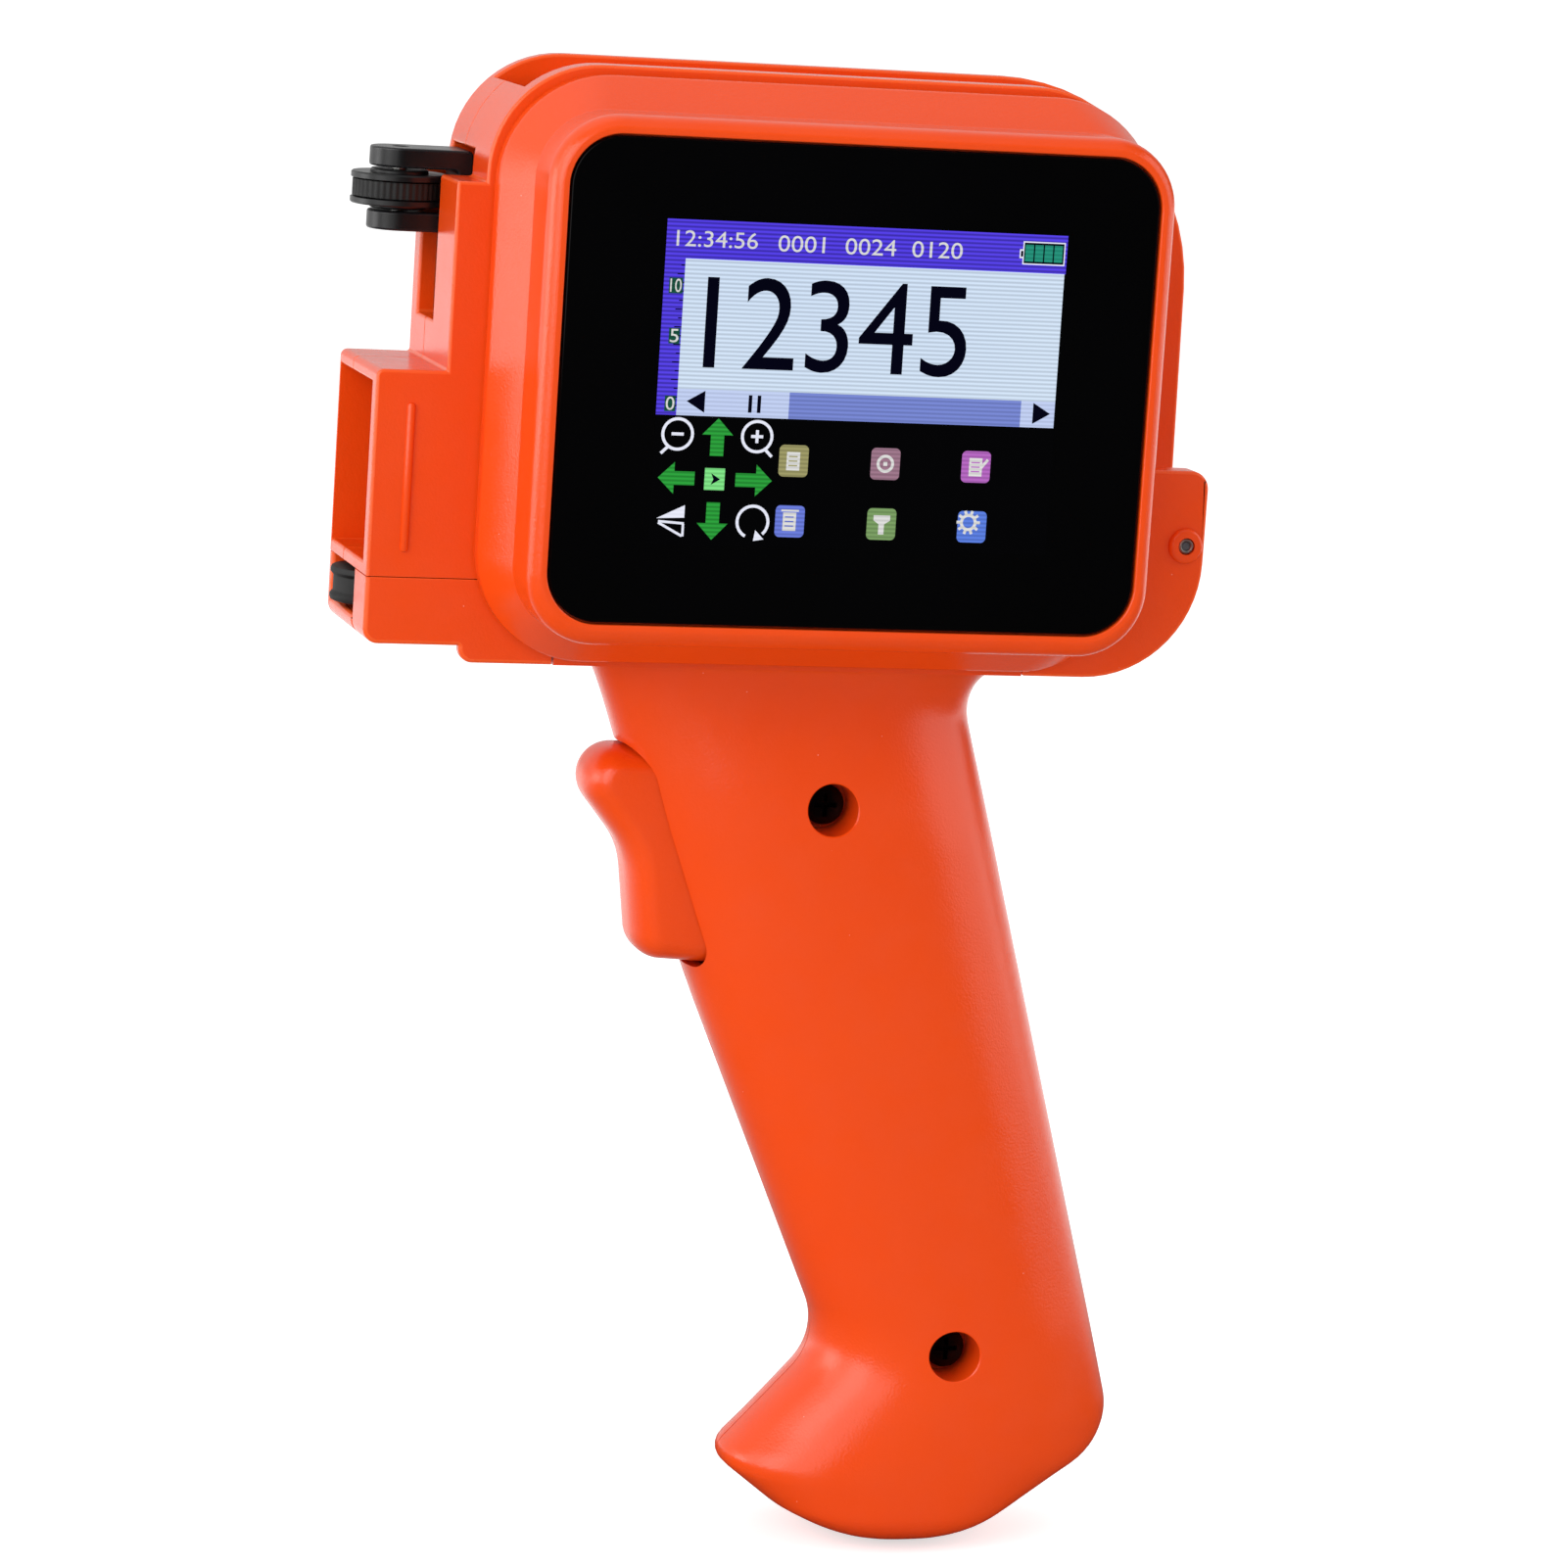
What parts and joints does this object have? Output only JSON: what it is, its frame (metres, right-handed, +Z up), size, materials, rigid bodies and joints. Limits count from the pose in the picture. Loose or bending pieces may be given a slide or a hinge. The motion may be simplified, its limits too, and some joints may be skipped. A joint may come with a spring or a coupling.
{
  "type": "handheld date code inkjet printer",
  "caption": "Handheld inkjet coder: screen head with a cartridge bay and hinged door, nose with print window, guide roller and sprung encoder wheel, on a pistol grip with a trigger.",
  "frame": {"origin": "bottom centre of the overall box, level with the lowest point of the grip's butt", "axes": "+Z up from the butt to the head, +X to the right for someone facing the screen, -Y out of the screen"},
  "size_m": [0.1268, 0.0488, 0.2145],
  "materials": {
    "orange_abs": "satin moulded",
    "black_plastic": "satin moulded",
    "black_rubber": "matte",
    "cover_glass": "polished, black backed",
    "grey_plastic": "moulded",
    "green_laminate": "solder resist",
    "bright_steel": "bright drawn",
    "black_steel": "black oxide",
    "blue_sleeve": "shrink sleeve"
  },
  "bodies": {
    "printer_body": {"front_housing": "orange_abs", "head_front_shell": "orange_abs", "head_back_shell": "orange_abs", "nose_foot_front": "orange_abs", "nose_foot_back": "orange_abs", "grip_front_half": "orange_abs", "grip_back_half": "orange_abs", "contact_block": "black_plastic", "power_switch": "black_plastic", "trigger_switch": "black_plastic", "touch_glass": "cover_glass", "lcd_module": "grey_plastic", "main_board": "green_laminate", "charge_socket": "bright_steel", "hinge_pin": "bright_steel", "nose_roller_pin": "bright_steel", "bracket_pin": "bright_steel", "trigger_pin": "bright_steel", "board_screw_1": "black_steel", "board_screw_2": "black_steel", "board_screw_3": "black_steel", "board_screw_4": "black_steel", "shell_screw_1": "black_steel", "shell_screw_2": "black_steel", "shell_screw_3": "black_steel", "shell_screw_4": "black_steel", "housing_screw_1": "black_steel", "housing_screw_2": "black_steel", "housing_screw_3": "black_steel", "housing_screw_4": "black_steel", "grip_screw_upper": "black_steel", "grip_screw_lower": "black_steel", "battery_cell": "blue_sleeve"},
    "door": {"cartridge_door": "orange_abs"},
    "guide_roller": {"nose_roller": "black_rubber"},
    "encoder_arm": {"encoder_bracket": "black_plastic", "encoder_axle": "bright_steel"},
    "encoder_wheel_set": {"encoder_wheel": "black_plastic", "encoder_tyre": "black_rubber"},
    "finger_trigger": {"trigger": "orange_abs"},
    "plunger": {"switch_plunger": "grey_plastic"},
    "button": {"power_button": "black_plastic"}
  },
  "joints": [
    {"name": "door_hinge", "type": "hinge", "parent": "printer_body", "child": "door", "pos_m": [0.05761, 0.0094, 0.14997], "axis": [0, 1, 0], "range_deg": [0, 100]},
    {"name": "guide_roller_spin", "type": "hinge", "parent": "printer_body", "child": "guide_roller", "pos_m": [-0.05689, 0.0129, 0.13887], "axis": [0, 0, 1], "continuous": true},
    {"name": "encoder_arm_swing", "type": "hinge", "parent": "printer_body", "child": "encoder_arm", "pos_m": [-0.04679, 0.0134, 0.18087], "axis": [0, 1, 0], "range_deg": [0, 6], "stiffness_Nm_per_rad": 0.08, "springref_deg": -17.19},
    {"name": "encoder_wheel_spin", "type": "hinge", "parent": "encoder_arm", "child": "encoder_wheel_set", "pos_m": [-0.05659, 0.0134, 0.19487], "axis": [0, 0, 1], "continuous": true},
    {"name": "trigger_pull", "type": "hinge", "parent": "printer_body", "child": "finger_trigger", "pos_m": [-0.01169, 0.0089, 0.11337], "axis": [0, -1, 0], "range_deg": [0, 7], "stiffness_Nm_per_rad": 0.15, "springref_deg": -14.32},
    {"name": "plunger_travel", "type": "slide", "parent": "printer_body", "child": "plunger", "axis": [1, 0, 0], "range_m": [0, 0.001]},
    {"name": "power_press", "type": "slide", "parent": "printer_body", "child": "button", "axis": [-1, 0, 0], "range_m": [0, 0.0005], "stiffness_N_per_m": 500, "springref_m": -0.002}
  ],
  "couplings": [
    {"joint": "plunger_travel", "follows": "trigger_pull", "m_per_rad": 0.008}
  ]
}
